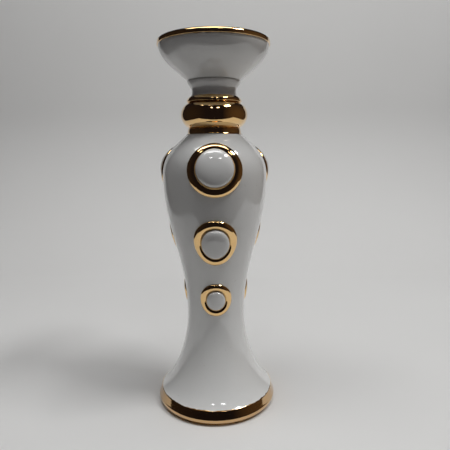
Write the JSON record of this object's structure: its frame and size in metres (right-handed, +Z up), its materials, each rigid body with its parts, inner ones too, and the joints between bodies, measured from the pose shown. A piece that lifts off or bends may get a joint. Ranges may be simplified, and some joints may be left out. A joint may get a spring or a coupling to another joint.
{
  "type": "porcelain vase",
  "caption": "Tall white porcelain vase with a flared foot, a shouldered body with round gilded sprigs, a gilded collar and a wide cup with a gilded lip.",
  "frame": {"origin": "centre of the circle on which the foot stands, on the surface under it", "axes": "+Z up along the vase's axis; -Y faces the viewer and carries the first column of sprigs; +X is to the viewer's right"},
  "size_m": [0.1164, 0.1164, 0.344],
  "materials": {
    "white_glaze": "glossy clear glaze over white porcelain",
    "gilding": "mirror-bright fired gold lustre over glazed porcelain"
  },
  "bodies": {
    "root": {"foot_band": "gilding", "body_shell": "white_glaze", "shoulder_band": "gilding", "collar_knop": "gilding", "neck_bead": "gilding", "neck_stem": "white_glaze", "cup_bowl": "white_glaze", "lip_band": "gilding", "lower_dome_front": "white_glaze", "lower_dome_right": "white_glaze", "lower_dome_left": "white_glaze", "middle_dome_front": "white_glaze", "middle_dome_right": "white_glaze", "middle_dome_left": "white_glaze", "upper_dome_front": "white_glaze", "upper_dome_right": "white_glaze", "upper_dome_left": "white_glaze", "lower_ring_front": "gilding", "lower_ring_right": "gilding", "lower_ring_left": "gilding", "middle_ring_front": "gilding", "middle_ring_right": "gilding", "middle_ring_left": "gilding", "upper_ring_front": "gilding", "upper_ring_right": "gilding", "upper_ring_left": "gilding"}
  },
  "joints": []
}
